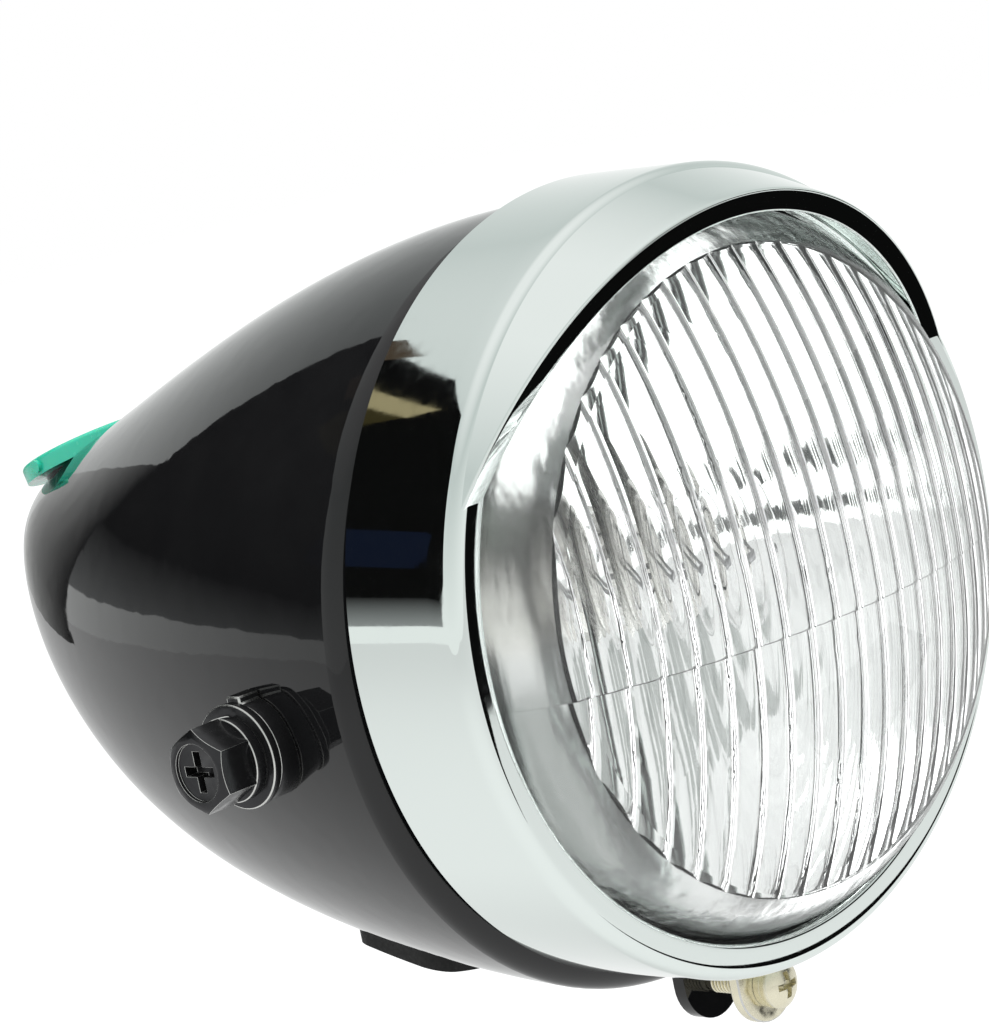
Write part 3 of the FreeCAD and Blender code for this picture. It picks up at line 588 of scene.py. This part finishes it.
def buildRim():
    profile, segments = rimProfile(), rim["segments"]
    angles = [2 * math.pi * turn / segments for turn in range(segments)]
    points = [beamPoint(radius, ahead, angle) for radius, ahead in profile for angle in angles]
    faces = []
    for ring in range(len(profile)):
        first, second = ring * segments, (ring + 1) % len(profile) * segments
        for turn in range(segments):
            after = (turn + 1) % segments
            faces.append((first + turn, second + turn, second + after, first + after))
    piece = meshPiece("chromeRim", points, faces, paint["chromePlate"], rim["sharpAngle"])
    standFor(piece, "chrome_rim")


def hemOutline():
    # the sheet's end and its turned-in hem, as (inward, forward) from the edge
    half, corner, fold, width, ease = (peak[key] for key in ("halfSheet", "corner", "fold", "hem", "ease"))
    outline = []
    for step in range(peak["cornerSteps"] + 1):
        turn = math.pi / 2 * step / peak["cornerSteps"]
        outline.append((corner - half - corner * math.cos(turn), corner * math.sin(turn) - corner))
    start, end, count = corner - half, width - fold, peak["hemSteps"]
    outline += [(start + (end - start) * step / count, 0) for step in range(1, count)]
    for step in range(peak["foldSteps"] + 1):
        turn = math.pi * step / peak["foldSteps"]
        outline.append((end + fold * math.sin(turn), fold * math.cos(turn) - fold))
    return outline + [(half + ease, -2 * fold), (half, -2 * fold - ease)]


def peakSection(angle):
    # closed outline as (radius, ahead): the cone's sheet up to the leaning plane that cuts it, and the hem
    taper, lean, half, count = peak["taper"], peak["lean"] * math.cos(angle), peak["halfSheet"], peak["sheetSteps"]
    reach = peak["foot"] + lean * (peak["rootRadius"] + taper * peak["root"]) - peak["lean"] * peak["footHeight"]
    edge = reach / (1 + lean * taper)
    edgeRadius = peak["rootRadius"] - taper * (edge - peak["root"])
    size = math.hypot(1, lean)
    inward, forward = (-1 / size, -lean / size), (-lean / size, 1 / size)
    outline = [(edgeRadius + inward[0] * a + forward[0] * b, edge + inward[1] * a + forward[1] * b)
               for a, b in hemOutline()]
    outer, inner = ((peak["rootRadius"] + half * side, peak["root"]) for side in (1, -1))
    outside = [tuple(a + (b - a) * step / count for a, b in zip(outer, outline[0])) for step in range(count)]
    inside = [tuple(a + (b - a) * step / count for a, b in zip(outline[-1], inner)) for step in range(1, count + 1)]
    return outside + outline + inside


def buildPeak():
    points, faces, steps = [], [], peak["steps"]
    span = math.radians(peak["span"])
    for step in range(steps + 1):
        angle = span * (2 * step / steps - 1)
        section = peakSection(angle)
        points += [beamPoint(radius, ahead, angle) for radius, ahead in section]
    count = len(section)
    for step in range(steps):
        first, second = step * count, (step + 1) * count
        for index in range(count):
            after = (index + 1) % count
            faces.append((first + index, first + after, second + after, second + index))
    faces.append(tuple(range(count)))
    faces.append(tuple(range(steps * count, (steps + 1) * count)))
    piece = meshPiece("rimPeak", points, faces, paint["chromePlate"], peak["sharpAngle"])
    standFor(piece, "chrome_rim")


def buildHook():
    wide, rear, front, low, high = (hook[key] for key in ("halfWidth", "rear", "front", "low", "high"))
    points = [(x, y, z) for x in (-wide, wide) for y in (rear, front) for z in (low, high)]
    faces = [(0, 1, 3, 2), (4, 6, 7, 5), (0, 4, 5, 1), (2, 3, 7, 6), (0, 2, 6, 4), (1, 5, 7, 3)]
    piece = meshPiece("rimHook", points, faces, paint["chromePlate"], hook["sharpAngle"])
    standFor(piece, "chrome_rim")


buildRim()
buildPeak()
buildHook()
print("rim built")


# fasteners and small pressed pieces: width of the rounded edges, where the plating wears to bare metal
wornBlack = {"pivot_bolt": 0.28, "spring_washer": 0.22, "plain_washer": 0.2, "pivot_collar": 0.3}
wornZinc = {"clamp_screw": 0.2, "clamp_spring_washer": 0.15, "rim_lug": 0.25}
wear = {"mergeReach": 1e-6, "flatAngle": 0.5, "edgeAngle": 35, "segments": 2, "sharpAngle": 50}


def wornCopy(node, width, coat):
    words = node.split("_")
    name = words[0] + "".join(word.capitalize() for word in words[1:])
    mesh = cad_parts[node].data.copy()
    work = bmesh.new()
    work.from_mesh(mesh)
    bmesh.ops.remove_doubles(work, verts=work.verts, dist=wear["mergeReach"])
    bmesh.ops.dissolve_limit(work, angle_limit=math.radians(wear["flatAngle"]), verts=work.verts, edges=work.edges)
    bmesh.ops.recalc_face_normals(work, faces=work.faces)
    work.to_mesh(mesh)
    work.free()
    mesh.materials.clear()
    mesh.materials.append(paint[coat])
    mesh.materials.append(paint["wornSteel"])
    holder = bpy.data.objects.new(name + "Holder", mesh)
    scene.collection.objects.link(holder)
    edges = holder.modifiers.new("edges", "BEVEL")
    edges.width = width * mm
    edges.segments = wear["segments"]
    edges.limit_method = "ANGLE"
    edges.angle_limit = math.radians(wear["edgeAngle"])
    edges.material = 1
    edges.use_clamp_overlap = True
    piece = addPiece(name, bakedMesh(name, holder), wear["sharpAngle"])
    standFor(piece, node)


for side in ("left", "right"):
    for part, width in wornBlack.items():
        wornCopy(side + "_" + part, width, "blackZinc")
for node, width in wornZinc.items():
    wornCopy(node, width, "zincPlate")
print("worn edges made:", 2 * len(wornBlack) + len(wornZinc))


# the clamp screw's thread: a wire swept along a spiral, from its rear end towards the screw's head
thread = {"Radius": 2.0, "Length": 6.4, "Turns": 9.0, "Wire": 0.2, "rear": -26.6, "turnSteps": 24, "wireSides": 8}


def coilTree():
    tree = bpy.data.node_groups.new("wireCoil", "GeometryNodeTree")
    tree.interface.new_socket("Geometry", in_out="OUTPUT", socket_type="NodeSocketGeometry")
    for label in ("Radius", "Length", "Turns", "Wire"):
        tree.interface.new_socket(label, in_out="INPUT", socket_type="NodeSocketFloat")
    tree.interface.new_socket("Coat", in_out="INPUT", socket_type="NodeSocketMaterial")
    nodes, links = tree.nodes, tree.links
    entry, leave = nodes.new("NodeGroupInput"), nodes.new("NodeGroupOutput")
    spiral = nodes.new("GeometryNodeCurveSpiral")
    spiral.inputs["Resolution"].default_value = thread["turnSteps"]
    links.new(entry.outputs["Radius"], spiral.inputs["Start Radius"])
    links.new(entry.outputs["Radius"], spiral.inputs["End Radius"])
    links.new(entry.outputs["Length"], spiral.inputs["Height"])
    links.new(entry.outputs["Turns"], spiral.inputs["Rotations"])
    section = nodes.new("GeometryNodeCurvePrimitiveCircle")
    section.inputs["Resolution"].default_value = thread["wireSides"]
    links.new(entry.outputs["Wire"], section.inputs["Radius"])
    sweep = nodes.new("GeometryNodeCurveToMesh")
    sweep.inputs["Fill Caps"].default_value = True
    links.new(spiral.outputs["Curve"], sweep.inputs["Curve"])
    links.new(section.outputs["Curve"], sweep.inputs["Profile Curve"])
    whole = nodes.new("GeometryNodeRealizeInstances")
    links.new(sweep.outputs["Mesh"], whole.inputs["Geometry"])
    coat = nodes.new("GeometryNodeSetMaterial")
    links.new(whole.outputs["Geometry"], coat.inputs["Geometry"])
    links.new(entry.outputs["Coat"], coat.inputs["Material"])
    links.new(coat.outputs["Geometry"], leave.inputs["Geometry"])
    return tree


def treePiece(name, tree, values):
    holder = bpy.data.objects.new(name + "Holder", bpy.data.meshes.new(name + "Start"))
    scene.collection.objects.link(holder)
    modifier = holder.modifiers.new("shape", "NODES")
    modifier.node_group = tree
    for item in tree.interface.items_tree:
        if item.in_out == "INPUT":
            modifier[item.identifier] = values[item.name]
    return addPiece(name, bakedMesh(name, holder))


def buildThread():
    values = {label: thread[label] * mm for label in ("Radius", "Length", "Wire")}
    values.update({"Turns": thread["Turns"], "Coat": paint["zincPlate"]})
    piece = treePiece("clampThread", coilTree(), values)
    low, high = (Vector(corner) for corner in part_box("clamp_screw"))
    foot = Vector(((low.x + high.x) / 2, thread["rear"] * mm, (low.z + high.z) / 2))
    piece.data.transform(Matrix.Translation(foot) @ Matrix.Rotation(math.pi / 2, 4, "X"))
    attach(piece, "root")


buildThread()
print("thread built")


# finishes of the solids that stay as they are
nodeFinish = {
    "headlight_shell": "blackPaint", "wire_grommet": "blackRubber", "cable_slot_edging": "blackRubber",
    "aperture_cap": "greenPlastic", "lens": "lensGlass", "lens_gasket": "blackRubber",
    "lens_seal": "blackRubber", "reflector": "mirrorCoat", "reflector_clips": "springSteel",
    "bulb_holder": "springSteel", "bulb_base": "nickelPlate", "bulb_glass": "bulbGlass",
    "bulb_filament": "filamentWire", "socket_cap": "brownPlastic", "contact_springs": "bulbBrass",
    "socket_terminals": "bulbBrass", "left_pivot_nut": "zincPlate", "right_pivot_nut": "zincPlate",
}
for node, label in nodeFinish.items():
    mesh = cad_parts[node].data
    mesh.materials.clear()
    mesh.materials.append(paint[label])
print("finishes set:", len(nodeFinish))
